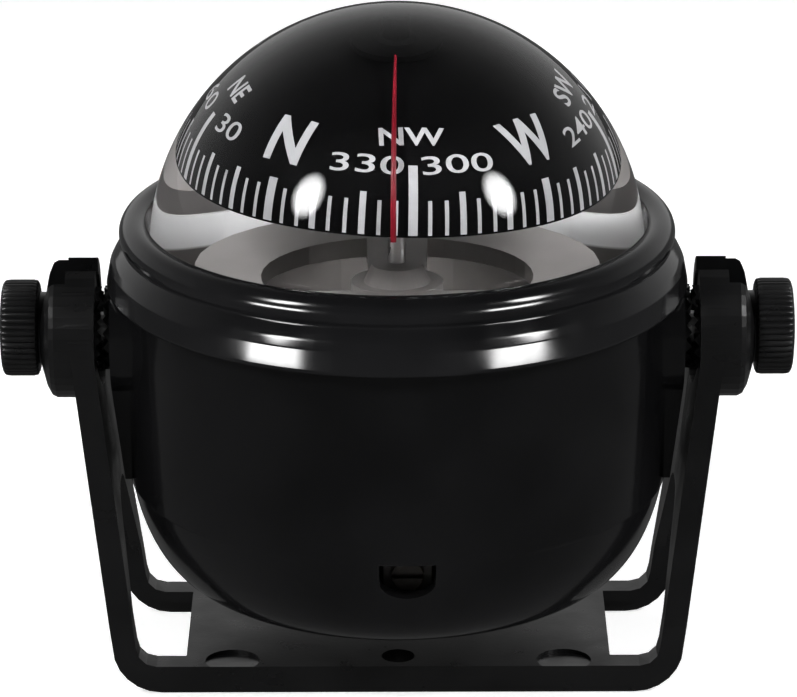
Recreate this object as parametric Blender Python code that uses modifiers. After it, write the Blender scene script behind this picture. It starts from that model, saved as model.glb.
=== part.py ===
"""Bracket-mounted dome compass, as separate solid pieces.

Units are metres, +Z is up, and the front of the compass looks towards -Y. The origin is the centre of the
bracket's underside. The housing, and everything inside it, is laid out from the tilt axis, which runs along X
through the bracket's two round heads. The card turns about a vertical pin inside the dome.
"""

import bmesh
import bpy
from math import atan2, cos, pi, radians, sin, sqrt
from mathutils import Matrix, Vector

MM = 0.001
GAP = 0.3 * MM                   # left between pieces that touch
EPS = 0.02 * MM

# Bracket
PIVOT_HEIGHT = 44.9 * MM         # tilt axis above the underside
BASE_THICKNESS = 3.6 * MM
ARM_THICKNESS = 3.0 * MM
ARM_LEAN = 0.13                  # sideways run of an arm per unit of height
ARM_FOOT_X = 35.9 * MM           # outer face of an arm, carried down to the underside
BRACKET_HALF_DEPTH = 14.4 * MM
CORNER_RADIUS = 6.2 * MM
HEAD_RADIUS = 9.0 * MM
HEAD_INNER_X = 38.9 * MM
HEAD_RIM_X = 44.5 * MM
HEAD_CROWN_X = 46.1 * MM
SLOT_HALF_WIDTH = 2.8 * MM
CHANNEL_HALF_WIDTH = 4.9 * MM
CHANNEL_FLOOR_X = 42.3 * MM
WEB_THICKNESS = 1.5 * MM
RIM_WIDTH = 2.0 * MM
WINDOW_INNER_X = 27.4 * MM
WINDOW_HALF_DEPTH = 10.8 * MM
WINDOW_TOP = 24.0 * MM

# Housing, heights above the tilt axis
WALL_RADIUS = 34.7 * MM
WALL_TOP = 5.9 * MM
WALL_BOTTOM = -19.1 * MM
WALL_THICKNESS = 2.2 * MM
BOWL_DEPTH = 14.75 * MM
BOSS_RADIUS = 8.7 * MM
BOSS_FACE_X = 36.6 * MM
LUG_HALF_WIDTH = 5.5 * MM
RECESS_CENTRE_X = 1.2 * MM
RECESS_HALF_WIDTH = 3.5 * MM
RECESS_BOTTOM = -24.1 * MM
RECESS_BOTTOM_RISE = 2.2 * MM    # height of the rounded lower edge of a recess
SLEEVE_RADIUS = 4.1 * MM         # collar inside each boss, round its threaded insert
INSERT_RADIUS = 2.8 * MM

# Locking teeth
TOOTH_COUNT = 18
TOOTH_INNER_RADIUS = 3.2 * MM
TOOTH_OUTER_RADIUS = 5.4 * MM
TOOTH_HEIGHT = 0.7 * MM

# Dome and card, heights above the tilt axis
DOME_CENTRE = 10.5 * MM
DOME_RADIUS = 31.7 * MM
DOME_THICKNESS = 1.8 * MM
CARD_RIM_RADIUS = 23.0 * MM
CARD_RIM = 18.4 * MM
CARD_CROWN = 33.8 * MM
CARD_THICKNESS = 0.7 * MM
CARD_SQUARENESS = 2.4           # 2 is an ellipse, and more gives fuller shoulders
CARD_NORTH = radians(-130)       # direction of the card's north mark at rest
LUBBER_CLEARANCE = 1.2 * MM
LUBBER_RADIUS = 0.35 * MM
LUBBER_END = 0.7 * MM            # height of the line's lower end above the card's rim

# Clamp knobs
KNOB_RADIUS = 6.2 * MM
KNOB_INNER_X = 46.5 * MM
KNOB_OUTER_X = 51.0 * MM
HUB_RADIUS = 4.6 * MM
STUD_RADIUS = 2.0 * MM
STUD_END_X = 45.7 * MM           # outer end of the stud, inside the knob

# Compensators
COMPENSATOR_HEIGHT = -22.2 * MM
ROD_RADIUS = 1.4 * MM
POST_TOP = -19.2 * MM            # top of the uprights that carry the rods
CARRIER_SCREW_X = 12 * MM
CARRIER_SCREW_Y = 8 * MM

# Capsule, below the dome
FILLER_Y = 17 * MM

# Spider under the card
ARM_HALF_WIDTH = 2.6 * MM
HUB_OF_SPIDER = 4.4 * MM
BAND_INNER_RADIUS = 13.0 * MM
BAND_OUTER_RADIUS = 19.3 * MM
CROSS_BAR_FRONT = -9.0 * MM
CROSS_BAR_BACK = -3.2 * MM

ROUND = 40                       # steps in a large turned piece
SMALL_ROUND = 28

for old in list(bpy.data.objects):
    bpy.data.objects.remove(old, do_unlink=True)

PARTS = bpy.data.collections.new("binnacle_compass")
CUTTERS = bpy.data.collections.new("cutters")
bpy.context.scene.collection.children.link(PARTS)
bpy.context.scene.collection.children.link(CUTTERS)


def make_material(name, colour, roughness, metallic=0.0, transmission=0.0):
    material = bpy.data.materials.new(name)
    material.use_nodes = True
    shader = material.node_tree.nodes["Principled BSDF"]
    shader.inputs["Base Color"].default_value = (*colour, 1.0)
    shader.inputs["Roughness"].default_value = roughness
    shader.inputs["Metallic"].default_value = metallic
    shader.inputs["Transmission Weight"].default_value = transmission
    return material


BLACK_GLOSS = make_material("black_gloss", (0.022, 0.022, 0.024), 0.22)
BLACK_SATIN = make_material("black_satin", (0.03, 0.03, 0.032), 0.42)
BLACK_CARD = make_material("black_card", (0.012, 0.012, 0.013), 0.5)
GREY_PLASTIC = make_material("grey_plastic", (0.19, 0.18, 0.175), 0.45)
CLEAR = make_material("clear_acrylic", (0.95, 0.95, 0.95), 0.03, transmission=1.0)
RED = make_material("red_lubber", (0.42, 0.015, 0.03), 0.35)
RUBBER = make_material("seal_rubber", (0.02, 0.02, 0.02), 0.8)
BRASS = make_material("brass", (0.55, 0.38, 0.14), 0.3, metallic=1.0)
STEEL = make_material("steel", (0.5, 0.5, 0.5), 0.3, metallic=1.0)
MAGNET = make_material("magnet_steel", (0.2, 0.2, 0.21), 0.4, metallic=1.0)
JEWEL = make_material("jewel", (0.5, 0.05, 0.1), 0.1)
FLOAT_WHITE = make_material("float_white", (0.7, 0.7, 0.68), 0.5)
BROWN = make_material("compensator_brown", (0.12, 0.07, 0.045), 0.5)


def make_axis(name, location, parent=None):
    """An empty on a joint's axis. Its location is measured from its parent."""
    axis = bpy.data.objects.new(name, None)
    axis.location = location
    axis.parent = parent
    PARTS.objects.link(axis)
    return axis


TILT = make_axis("tilt_axis", (0, 0, PIVOT_HEIGHT))
CARD_AXIS = make_axis("card_axis", (0, 0, DOME_CENTRE), TILT)


def add_object(name, mesh, material=None, parent=None):
    """A piece of the compass, or a cutter when it has no material."""
    piece = bpy.data.objects.new(name, mesh)
    if material is None:
        CUTTERS.objects.link(piece)
        piece.hide_render = True
        piece.display_type = "WIRE"
    else:
        PARTS.objects.link(piece)
        mesh.materials.append(material)
    piece.parent = parent
    return piece


def mesh_from(name, build):
    """A mesh filled by build, which gets an empty bmesh."""
    mesh = bpy.data.meshes.new(name)
    work = bmesh.new()
    build(work)
    work.to_mesh(mesh)
    work.free()
    return mesh


def smooth(mesh, angle=35):
    mesh.shade_smooth()
    mesh.set_sharp_from_angle(angle=radians(angle))


def turned(name, profile, material=None, parent=None, steps=ROUND, ring=False):
    """A shape turned about its own Z. The (radius, height) profile runs down its outer side."""
    mesh = bpy.data.meshes.new(name)
    ends = list(range(len(profile)))
    edges = list(zip(ends, ends[1:]))
    if ring:
        edges.append((ends[-1], 0))
    mesh.from_pydata([(r, 0, z) for r, z in profile], edges, [])
    piece = add_object(name, mesh, material, parent)
    screw = piece.modifiers.new("turn", "SCREW")
    screw.steps = steps
    screw.render_steps = steps
    screw.use_merge_vertices = True
    screw.merge_threshold = 0.00001
    screw.use_smooth_shade = True
    return piece


def along_x(piece, side=1):
    """Lays a turned piece's axis along X, so that its own +Z looks outwards on that side."""
    piece.rotation_euler = (0, side * pi / 2, 0)
    return piece


def in_mm(points):
    return [(radius * MM, height * MM) for radius, height in points]


def arc(centre_r, centre_z, radius, start, end, count):
    """Points on an arc, with angles in degrees from the radial direction towards +Z."""
    points = []
    for i in range(count + 1):
        angle = radians(start + (end - start) * i / count)
        points.append((centre_r + radius * cos(angle), centre_z + radius * sin(angle)))
    return points


def box(name, low, high, material=None, parent=None):
    def build(work):
        bmesh.ops.create_cube(work, size=1)
        size = Vector(high) - Vector(low)
        middle = (Vector(high) + Vector(low)) / 2
        stretch = Matrix.Translation(middle) @ Matrix.Diagonal((*size, 1))
        bmesh.ops.transform(work, matrix=stretch, verts=work.verts)

    return add_object(name, mesh_from(name, build), material, parent)


def cylinder(name, radius, start, end, material=None, parent=None, steps=SMALL_ROUND):
    """A cylinder between two points."""
    def build(work):
        bmesh.ops.create_cone(work, cap_ends=True, segments=steps, radius1=radius, radius2=radius, depth=1)
        span = Vector(end) - Vector(start)
        middle = (Vector(end) + Vector(start)) / 2
        turn = span.to_track_quat("Z", "Y").to_matrix().to_4x4()
        place = Matrix.Translation(middle) @ turn @ Matrix.Diagonal((1, 1, span.length, 1))
        bmesh.ops.transform(work, matrix=place, verts=work.verts)

    return add_object(name, mesh_from(name, build), material, parent)


def plate(name, outline, start, end, axis, material=None, parent=None):
    """A flat outline given thickness from start to end along axis. An outline across X is (y, z) points, and
    one across Y is (x, z) points."""
    curve = bpy.data.curves.new(name, "CURVE")
    curve.dimensions = "2D"
    curve.fill_mode = "BOTH"
    curve.extrude = (end - start) / 2
    spline = curve.splines.new("POLY")
    spline.points.add(len(outline) - 1)
    for point, (across, up) in zip(spline.points, outline):
        point.co = (across, up, 0, 1)
    spline.use_cyclic_u = True
    guide = bpy.data.objects.new(name, curve)
    CUTTERS.objects.link(guide)
    bpy.context.view_layer.update()
    mesh = bpy.data.meshes.new_from_object(guide.evaluated_get(bpy.context.evaluated_depsgraph_get()))
    bpy.data.objects.remove(guide)
    mesh.name = name
    middle = (start + end) / 2
    if axis == "X":
        stand = Matrix(((0, 0, 1, middle), (1, 0, 0, 0), (0, 1, 0, 0), (0, 0, 0, 1)))
    else:
        stand = Matrix(((1, 0, 0, 0), (0, 0, -1, middle), (0, 1, 0, 0), (0, 0, 0, 1)))
    work = bmesh.new()
    work.from_mesh(mesh)
    bmesh.ops.remove_doubles(work, verts=work.verts, dist=0.000001)
    bmesh.ops.transform(work, matrix=stand, verts=work.verts)
    bmesh.ops.recalc_face_normals(work, faces=work.faces)
    work.to_mesh(mesh)
    work.free()
    return add_object(name, mesh, material, parent)


def combine(piece, operation, *others):
    """Cuts, joins or intersects a piece with cutters."""
    for other in others:
        step = piece.modifiers.new(other.name, "BOOLEAN")
        step.operation = operation
        step.solver = "EXACT"
        step.object = other
    return piece


def toothed_ring(name, side, face_x, tip_x, parent=None):
    """A ring of radial ridges about X. It stands on face_x and its ridges end at tip_x."""
    def build(work):
        rims = []
        for radius in (TOOTH_INNER_RADIUS, TOOTH_OUTER_RADIUS):
            made = bmesh.ops.create_circle(work, segments=2 * TOOTH_COUNT, radius=radius)
            rims.extend({edge for vert in made["verts"] for edge in vert.link_edges})
        bmesh.ops.bridge_loops(work, edges=rims)
        raised = bmesh.ops.extrude_face_region(work, geom=work.faces[:])
        tops = [item for item in raised["geom"] if isinstance(item, bmesh.types.BMVert)]
        direction = 1 if tip_x > face_x else -1
        valley = abs(tip_x - face_x) - TOOTH_HEIGHT
        for vert in tops:
            step = round(atan2(vert.co.y, vert.co.x) / (pi / TOOTH_COUNT))
            vert.co.z += direction * (valley + (TOOTH_HEIGHT if step % 2 else 0))
        bmesh.ops.translate(work, vec=(0, 0, face_x), verts=work.verts)
        bmesh.ops.rotate(work, matrix=Matrix.Rotation(side * pi / 2, 3, "Y"), verts=work.verts)
        bmesh.ops.recalc_face_normals(work, faces=work.faces)

    return add_object(name, mesh_from(name, build), None, parent)


# Bracket ---------------------------------------------------------------------------------------------------

def arm_outer_x(height):
    return ARM_FOOT_X + ARM_LEAN * height


def bracket_outline(inset, top):
    """The bracket's U section, as a closed (x, z) outline whose outer side is drawn in by inset."""
    bend = CORNER_RADIUS - inset
    middle_x = arm_outer_x(CORNER_RADIUS) - CORNER_RADIUS
    inner_bend = 2.6 * MM
    inner_x = arm_outer_x(BASE_THICKNESS + inner_bend) - ARM_THICKNESS - inner_bend
    right = [
        (middle_x + bend * sin(radians(a)), CORNER_RADIUS - bend * cos(radians(a))) for a in range(0, 91, 15)
    ]
    right.append((arm_outer_x(top) - inset, top))
    right.append((arm_outer_x(top) - ARM_THICKNESS, top))
    right += [
        (inner_x + inner_bend * sin(radians(a)), BASE_THICKNESS + inner_bend * (1 - cos(radians(a))))
        for a in (90, 60, 30, 0)
    ]
    outer, inner = right[:8], right[8:]
    return outer + inner + [(-x, z) for x, z in reversed(inner)] + [(-x, z) for x, z in reversed(outer)]


def side_outline(inset=0.0):
    """The bracket seen from the side: a broad foot, tapering arms and a round head. It can be drawn in."""
    foot = BRACKET_HALF_DEPTH - inset
    head = HEAD_RADIUS - inset
    right = [(foot, -MM), (foot, 9 * MM)]
    right += [(head * cos(radians(a)), PIVOT_HEIGHT + head * sin(radians(a))) for a in range(-8, 90, 14)]
    return right + [(0, PIVOT_HEIGHT + head)] + [(-y, z) for y, z in reversed(right)]


def window_outline():
    """The opening through each bottom corner, which narrows up the arm to a rounded top."""
    right = [(WINDOW_HALF_DEPTH, -MM), (WINDOW_HALF_DEPTH, 10 * MM)]
    top_radius = 4.0 * MM
    right += [
        (1.2 * MM + top_radius * cos(radians(a)), WINDOW_TOP - top_radius + top_radius * sin(radians(a)))
        for a in (20, 45, 70, 90)
    ]
    return right + [(-y, z) for y, z in reversed(right)]


def make_bracket():
    top = PIVOT_HEIGHT + HEAD_RADIUS
    bracket = plate("mounting_bracket", bracket_outline(0, top), -BRACKET_HALF_DEPTH, BRACKET_HALF_DEPTH, "Y",
                    BLACK_SATIN)
    taper = plate("bracket_taper", side_outline(), -60 * MM, 60 * MM, "X")
    combine(bracket, "INTERSECT", taper)
    for side, word in ((-1, "left"), (1, "right")):
        profile = [(0, HEAD_CROWN_X), (4.5 * MM, HEAD_CROWN_X - 0.3 * MM), (7.6 * MM, HEAD_RIM_X + 0.4 * MM)]
        profile += [(8.7 * MM, HEAD_RIM_X - 0.2 * MM), (HEAD_RADIUS, HEAD_RIM_X - 0.8 * MM)]
        profile += [(HEAD_RADIUS, HEAD_INNER_X - 0.4 * MM), (0, HEAD_INNER_X - 0.4 * MM)]
        head = along_x(turned(f"head_{word}", profile, steps=40), side)
        head.location.z = PIVOT_HEIGHT
        seat = cylinder(f"head_seat_{word}", 7.3 * MM, (side * 30 * MM, 0, PIVOT_HEIGHT),
                        (side * HEAD_INNER_X, 0, PIVOT_HEIGHT), steps=36)
        teeth = toothed_ring(f"head_teeth_{word}", side, HEAD_INNER_X + 0.5 * MM, HEAD_INNER_X - 1.0 * MM)
        teeth.location.z = PIVOT_HEIGHT
        combine(bracket, "UNION", head)
        combine(bracket, "DIFFERENCE", seat)
        combine(bracket, "UNION", teeth)
    for side, word in ((-1, "left"), (1, "right")):
        near, far = sorted((side * 36 * MM, side * 48 * MM))
        floor, beyond = sorted((side * CHANNEL_FLOOR_X, side * 48 * MM))
        slot = box(f"slot_{word}", (near, -SLOT_HALF_WIDTH, PIVOT_HEIGHT), (far, SLOT_HALF_WIDTH, top + MM))
        slot_end = cylinder(f"slot_end_{word}", SLOT_HALF_WIDTH, (near, 0, PIVOT_HEIGHT),
                            (far, 0, PIVOT_HEIGHT))
        channel = box(f"channel_{word}", (floor, -CHANNEL_HALF_WIDTH, PIVOT_HEIGHT),
                      (beyond, CHANNEL_HALF_WIDTH, top + MM))
        channel_end = cylinder(f"channel_end_{word}", CHANNEL_HALF_WIDTH, (floor, 0, PIVOT_HEIGHT),
                               (beyond, 0, PIVOT_HEIGHT))
        low, high = sorted((side * WINDOW_INNER_X, side * 48 * MM))
        window = plate(f"window_{word}", window_outline(), low, high, "X")
        combine(bracket, "DIFFERENCE", slot, slot_end, channel, channel_end, window)
        combine(bracket, "DIFFERENCE", corner_pocket(side, word))
    for y in (-11 * MM, 11 * MM):
        hole = cylinder(f"screw_hole_{'front' if y < 0 else 'rear'}", 2.15 * MM, (0, y, -MM), (0, y, 6 * MM))
        combine(bracket, "DIFFERENCE", hole)
    for side, word in ((-1, "left"), (1, "right")):
        recess = cylinder(f"round_recess_{word}", 3.5 * MM, (0, 0, 0), (0, 0, 4 * MM), steps=32)
        recess.location = (side * 21.4 * MM, -12.4 * MM, BASE_THICKNESS - 0.22 * MM)
        recess.rotation_euler = (radians(-5.5), 0, 0)
        combine(bracket, "DIFFERENCE", recess)
    return bracket


def corner_pocket(side, word):
    """The hollow outside each bend, which leaves a thin web between the front and rear rims."""
    height = 27 * MM
    web = ARM_THICKNESS - WEB_THICKNESS
    inner_bend = 2.6 * MM + WEB_THICKNESS
    inner_x = arm_outer_x(BASE_THICKNESS + 2.6 * MM) - ARM_THICKNESS - 2.6 * MM
    floor = BASE_THICKNESS - WEB_THICKNESS
    line = [(WINDOW_INNER_X, -MM), (WINDOW_INNER_X, floor)]
    line += [
        (inner_x + inner_bend * sin(radians(a)),
         floor + inner_bend * (1 - cos(radians(a)))) for a in (0, 30, 60)
    ]
    line += [(arm_outer_x(9 * MM) - web, 9 * MM), (arm_outer_x(height) - web, height)]
    line += [(45 * MM, height), (45 * MM, -MM)]
    pocket = plate(f"pocket_{word}", [(side * x, z) for x, z in line], -20 * MM, 20 * MM, "Y")
    near, far = sorted((side * 20 * MM, side * 50 * MM))
    return combine(pocket, "INTERSECT", plate(f"pocket_edge_{word}", side_outline(RIM_WIDTH), near, far, "X"))


# Housing ---------------------------------------------------------------------------------------------------

def bowl_curve(radius, top, depth, count):
    """Side of the bowl, from just under its upper edge down to the axis: a squarish quarter of an ellipse."""
    points = []
    for i in range(1, count + 1):
        angle = pi / 2 * i / count
        across = radius * max(cos(angle), 0.0) ** 0.24 if i < count else 0.0
        points.append((across, top - depth * sin(angle) ** 1.6))
    return points


def keyhole_outline():
    """Side view of a pivot boss: round at the tilt axis, with a lug that runs down the wall."""
    start = atan2(WALL_TOP, sqrt(BOSS_RADIUS ** 2 - WALL_TOP ** 2))
    end = -atan2(sqrt(BOSS_RADIUS ** 2 - LUG_HALF_WIDTH ** 2), LUG_HALF_WIDTH)
    right = []
    for i in range(9):
        angle = start + (end - start) * i / 8
        right.append((BOSS_RADIUS * cos(angle), BOSS_RADIUS * sin(angle)))
    right.append((LUG_HALF_WIDTH, WALL_BOTTOM + 0.3 * MM))
    return right + [(-y, z) for y, z in reversed(right)]


def make_boss(side, word):
    near, far = sorted((side * 33.0 * MM, side * BOSS_FACE_X))
    boss = plate(f"boss_{word}", keyhole_outline(), near, far, "X", parent=TILT)
    for vert in boss.data.vertices:
        if abs(vert.co.x) > 35 * MM and vert.co.z < -8 * MM:
            vert.co.x -= side * 1.5 * MM
    return boss


def make_housing_body():
    inner_radius = WALL_RADIUS - WALL_THICKNESS
    ledge = 31.2 * MM
    outer = [(inner_radius, WALL_TOP), (WALL_RADIUS, WALL_TOP), (WALL_RADIUS, WALL_BOTTOM)]
    outer += [(WALL_RADIUS - 0.25 * MM, WALL_BOTTOM - 0.4 * MM)]
    outer += bowl_curve(WALL_RADIUS - 0.3 * MM, WALL_BOTTOM - 0.3 * MM, BOWL_DEPTH - 0.3 * MM, 10)[1:]
    inner = bowl_curve(inner_radius - 0.3 * MM, WALL_BOTTOM, BOWL_DEPTH - WALL_THICKNESS, 7)
    inner = list(reversed(inner)) + [(inner_radius, WALL_BOTTOM), (inner_radius, 1.6 * MM)]
    inner += [(ledge, 2.8 * MM), (ledge, 4.2 * MM), (inner_radius, 4.2 * MM)]
    body = turned("housing_body", inner + outer, BLACK_GLOSS, TILT)
    for side, word in ((-1, "left"), (1, "right")):
        boss = make_boss(side, word)
        sleeve = cylinder(f"boss_sleeve_{word}", SLEEVE_RADIUS, (side * 29.0 * MM, 0, 0),
                          (side * 34 * MM, 0, 0), None, TILT)
        teeth = toothed_ring(f"boss_teeth_{word}", side, BOSS_FACE_X - EPS, BOSS_FACE_X + 1.0 * MM, TILT)
        combine(body, "UNION", boss, sleeve, teeth)
    for side, word in ((-1, "left"), (1, "right")):
        bore = cylinder(f"insert_bore_{word}", INSERT_RADIUS + GAP, (side * 30.1 * MM, 0, 0),
                        (side * 38 * MM, 0, 0), None, TILT)
        combine(body, "DIFFERENCE", bore)
    combine(body, "DIFFERENCE", access_recess("front", "Y", -1), access_recess("side", "X", 1))
    for x in (-CARRIER_SCREW_X, CARRIER_SCREW_X):
        hole = cylinder(f"carrier_hole_{'left' if x < 0 else 'right'}", 1.5 * MM, (x, CARRIER_SCREW_Y,
                                                                                   -36 * MM),
                        (x, CARRIER_SCREW_Y, -30 * MM), None, TILT)
        combine(body, "DIFFERENCE", hole)
    return body


def access_recess(word, axis, side):
    """Flat-topped opening under the wall's lower edge, through which a compensator is turned."""
    half = RECESS_HALF_WIDTH
    top = WALL_BOTTOM
    low = RECESS_BOTTOM + RECESS_BOTTOM_RISE
    outline = [(RECESS_CENTRE_X - half, low), (RECESS_CENTRE_X - half, top), (RECESS_CENTRE_X + half, top)]
    outline += [
        (RECESS_CENTRE_X + half * cos(radians(a)), low + RECESS_BOTTOM_RISE * sin(radians(a)))
        for a in range(0, -180, -20)
    ]
    near, far = sorted((side * 26 * MM, side * 40 * MM))
    return plate(f"recess_{word}", outline, near, far, axis, parent=TILT)


def make_top_cover():
    """Bevelled band with a rounded collar, which holds the foot of the dome down."""
    bore = 32.0 * MM
    profile = [(bore, 14.7 * MM)]
    profile += arc(33.4 * MM, 13.4 * MM, 2.1 * MM, 126, -38, 9)
    profile += [(35.6 * MM, 11.2 * MM), (36.3 * MM, 10.2 * MM), (36.7 * MM, 9.4 * MM)]
    profile += [(37.2 * MM, 6.6 * MM), (37.0 * MM, 6.2 * MM), (33.3 * MM, 6.2 * MM), (33.3 * MM, 8.9 * MM)]
    profile += [(bore, 8.9 * MM)]
    return turned("top_cover", profile, BLACK_GLOSS, TILT, ring=True)


def make_dome():
    inner = DOME_RADIUS - DOME_THICKNESS
    foot, flange_top = 6.6 * MM, 8.6 * MM
    profile = [(r if r > EPS else 0, z) for r, z in arc(0, DOME_CENTRE, DOME_RADIUS, 90, 0, 11)]
    profile += [(DOME_RADIUS, flange_top), (33.0 * MM, flange_top), (33.0 * MM, foot), (inner, foot)]
    profile += [(r if r > EPS else 0, z) for r, z in arc(0, DOME_CENTRE, inner, 0, 90, 10)]
    return turned("dome", profile, CLEAR, TILT)


def make_capsule():
    """Everything that stands still inside the liquid space and closes it from below."""
    seal = [(32.2 * MM, 6.3 * MM), (32.2 * MM, 5.6 * MM), (30.3 * MM, 5.6 * MM), (30.3 * MM, 6.3 * MM)]
    turned("dome_seal", seal, RUBBER, TILT, ring=True)
    floor = [(32.2 * MM, 5.3 * MM), (32.2 * MM, 4.5 * MM), (28.6 * MM, 4.5 * MM), (28.2 * MM, 3.4 * MM)]
    floor += [(26.4 * MM, -8.0 * MM), (8.3 * MM, -8.0 * MM), (8.3 * MM, -6.5 * MM), (25.2 * MM, -6.5 * MM)]
    floor += [(27.2 * MM, 5.3 * MM)]
    pan = turned("capsule_floor", floor, GREY_PLASTIC, TILT, ring=True)
    hole = cylinder("filler_hole", 1.7 * MM, (0, FILLER_Y, -12 * MM), (0, FILLER_Y, 0), None, TILT)
    combine(pan, "DIFFERENCE", hole)
    plug = [(0, -6.2 * MM), (1.4 * MM, -6.2 * MM), (1.4 * MM, -8.3 * MM), (2.8 * MM, -8.3 * MM)]
    plug += [(2.8 * MM, -9.6 * MM), (0, -9.6 * MM)]
    turned("filler_plug", plug, BRASS, TILT, 20).location.y = FILLER_Y
    skin = [(0, -8.9 * MM), (6.4 * MM, -8.9 * MM), (7.2 * MM, -8.3 * MM), (9.6 * MM, -8.3 * MM)]
    skin += [(9.6 * MM, -8.8 * MM), (7.4 * MM, -8.8 * MM), (6.6 * MM, -9.4 * MM), (0, -9.4 * MM)]
    turned("diaphragm", skin, RUBBER, TILT, 32)
    clamp = [(9.6 * MM, -9.1 * MM), (9.6 * MM, -10.2 * MM), (7.9 * MM, -10.2 * MM), (7.9 * MM, -9.1 * MM)]
    turned("diaphragm_ring", clamp, BRASS, TILT, 32, ring=True)


def make_spider():
    """Outer ring, inner band, hub and two bars that carry the pivot pin under the card."""
    low, high = 5.6 * MM, 7.3 * MM
    rim = [(29.5 * MM, high), (29.5 * MM, low), (26.8 * MM, low), (26.8 * MM, high)]
    spider = turned("spider_frame", rim, GREY_PLASTIC, TILT, ring=True)
    band = [(BAND_OUTER_RADIUS, high), (BAND_OUTER_RADIUS, low)]
    band += [(BAND_INNER_RADIUS, low), (BAND_INNER_RADIUS, high)]
    combine(spider, "UNION", turned("spider_band", band, parent=TILT, ring=True))
    hub = [(0, 9.0 * MM), (2.4 * MM, 9.0 * MM), (3.2 * MM, high), (HUB_OF_SPIDER, high), (HUB_OF_SPIDER, low)]
    combine(spider, "UNION", turned("spider_hub", hub + [(0, low)], parent=TILT, steps=36))
    start, end = (-ARM_HALF_WIDTH, -28 * MM, low + EPS), (ARM_HALF_WIDTH, 28 * MM, high - EPS)
    combine(spider, "UNION", box("spider_bar_long", start, end, None, TILT))
    start, end = (-28 * MM, CROSS_BAR_FRONT, low + EPS), (28 * MM, CROSS_BAR_BACK, high - EPS)
    combine(spider, "UNION", box("spider_bar_cross", start, end, None, TILT))
    pin = [(0, 24.6 * MM), (0.9 * MM, 22.6 * MM), (0.9 * MM, 9.3 * MM), (0, 9.3 * MM)]
    turned("pivot_pin", pin, STEEL, TILT, 16)


def card_curve(outset, count):
    """Section of the domed card from its crown towards its rim, moved outwards. Heights are above the tilt
    axis."""
    points = []
    for i in range(count + 1):
        angle = pi / 2 * (1 - i / count)
        across = max(cos(angle), 0.0) ** (2 / CARD_SQUARENESS)
        up = max(sin(angle), 0.0) ** (2 / CARD_SQUARENESS)
        radius = (CARD_RIM_RADIUS + outset) * across
        points.append((radius if i else 0.0, CARD_RIM + (CARD_CROWN - CARD_RIM + outset) * up))
    return points


def make_card():
    """The pieces that turn together on the pin. Heights here are above the dome's centre."""
    outer = card_curve(0.0, 11)
    inner = card_curve(-CARD_THICKNESS, 10)
    cap = [(r, z - DOME_CENTRE) for r, z in outer + inner[::-1]]
    turned("card_dial", cap, BLACK_CARD, CARD_AXIS)
    drum = [(0, 22.3), (4, 21.9), (8, 21.0), (11.5, 18.7), (11.5, 12.0), (10.5, 11.0), (2.3, 11.0)]
    drum += [(2.3, 15.6), (0, 15.6)]
    turned("card_float", in_mm(drum), FLOAT_WHITE, CARD_AXIS, 36)
    cup = [(0, 15.3), (1.9, 15.3), (1.9, 13.4), (1.3, 13.4), (0, 14.6)]
    turned("jewel_cup", in_mm(cup), JEWEL, CARD_AXIS, 16)
    for number, offset in enumerate((-6 * MM, 6 * MM), 1):
        low, high = (-8 * MM, offset - 1.2 * MM, 8.3 * MM), (8 * MM, offset + 1.2 * MM, 10.7 * MM)
        magnet = box(f"card_magnet_{number}", low, high, MAGNET, CARD_AXIS)
        magnet.rotation_euler.z = CARD_NORTH


def make_lubber():
    """Hub hung from the crown of the dome, and the wire that comes down in front of the card."""
    top = DOME_CENTRE + DOME_RADIUS - DOME_THICKNESS - GAP
    low, high = CARD_CROWN + 0.4 * MM, CARD_CROWN + 1.3 * MM
    hub = [(0, top), (1.6 * MM, top), (1.6 * MM, high + 0.5 * MM), (2.2 * MM, high), (5.1 * MM, high)]
    hub += [(5.1 * MM, low), (0, low)]
    turned("crown_hub", hub, BLACK_SATIN, TILT, 32)
    end = CARD_RIM + LUBBER_END
    path = card_curve(LUBBER_CLEARANCE, 24)
    path = [(r, z) for r, z in path if r > 5.5 * MM and z > end + 2 * LUBBER_RADIUS]
    path.append((CARD_RIM_RADIUS + LUBBER_CLEARANCE, end))
    curve = bpy.data.curves.new("lubber_line", "CURVE")
    curve.dimensions = "3D"
    curve.bevel_depth = LUBBER_RADIUS
    curve.bevel_resolution = 2
    curve.use_fill_caps = True
    spline = curve.splines.new("POLY")
    spline.points.add(len(path) - 1)
    for point, (forward, height) in zip(spline.points, path):
        point.co = (0, -forward, height, 1)
    curve.materials.append(RED)
    line = bpy.data.objects.new("lubber_line", curve)
    line.parent = TILT
    PARTS.objects.link(line)


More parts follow.
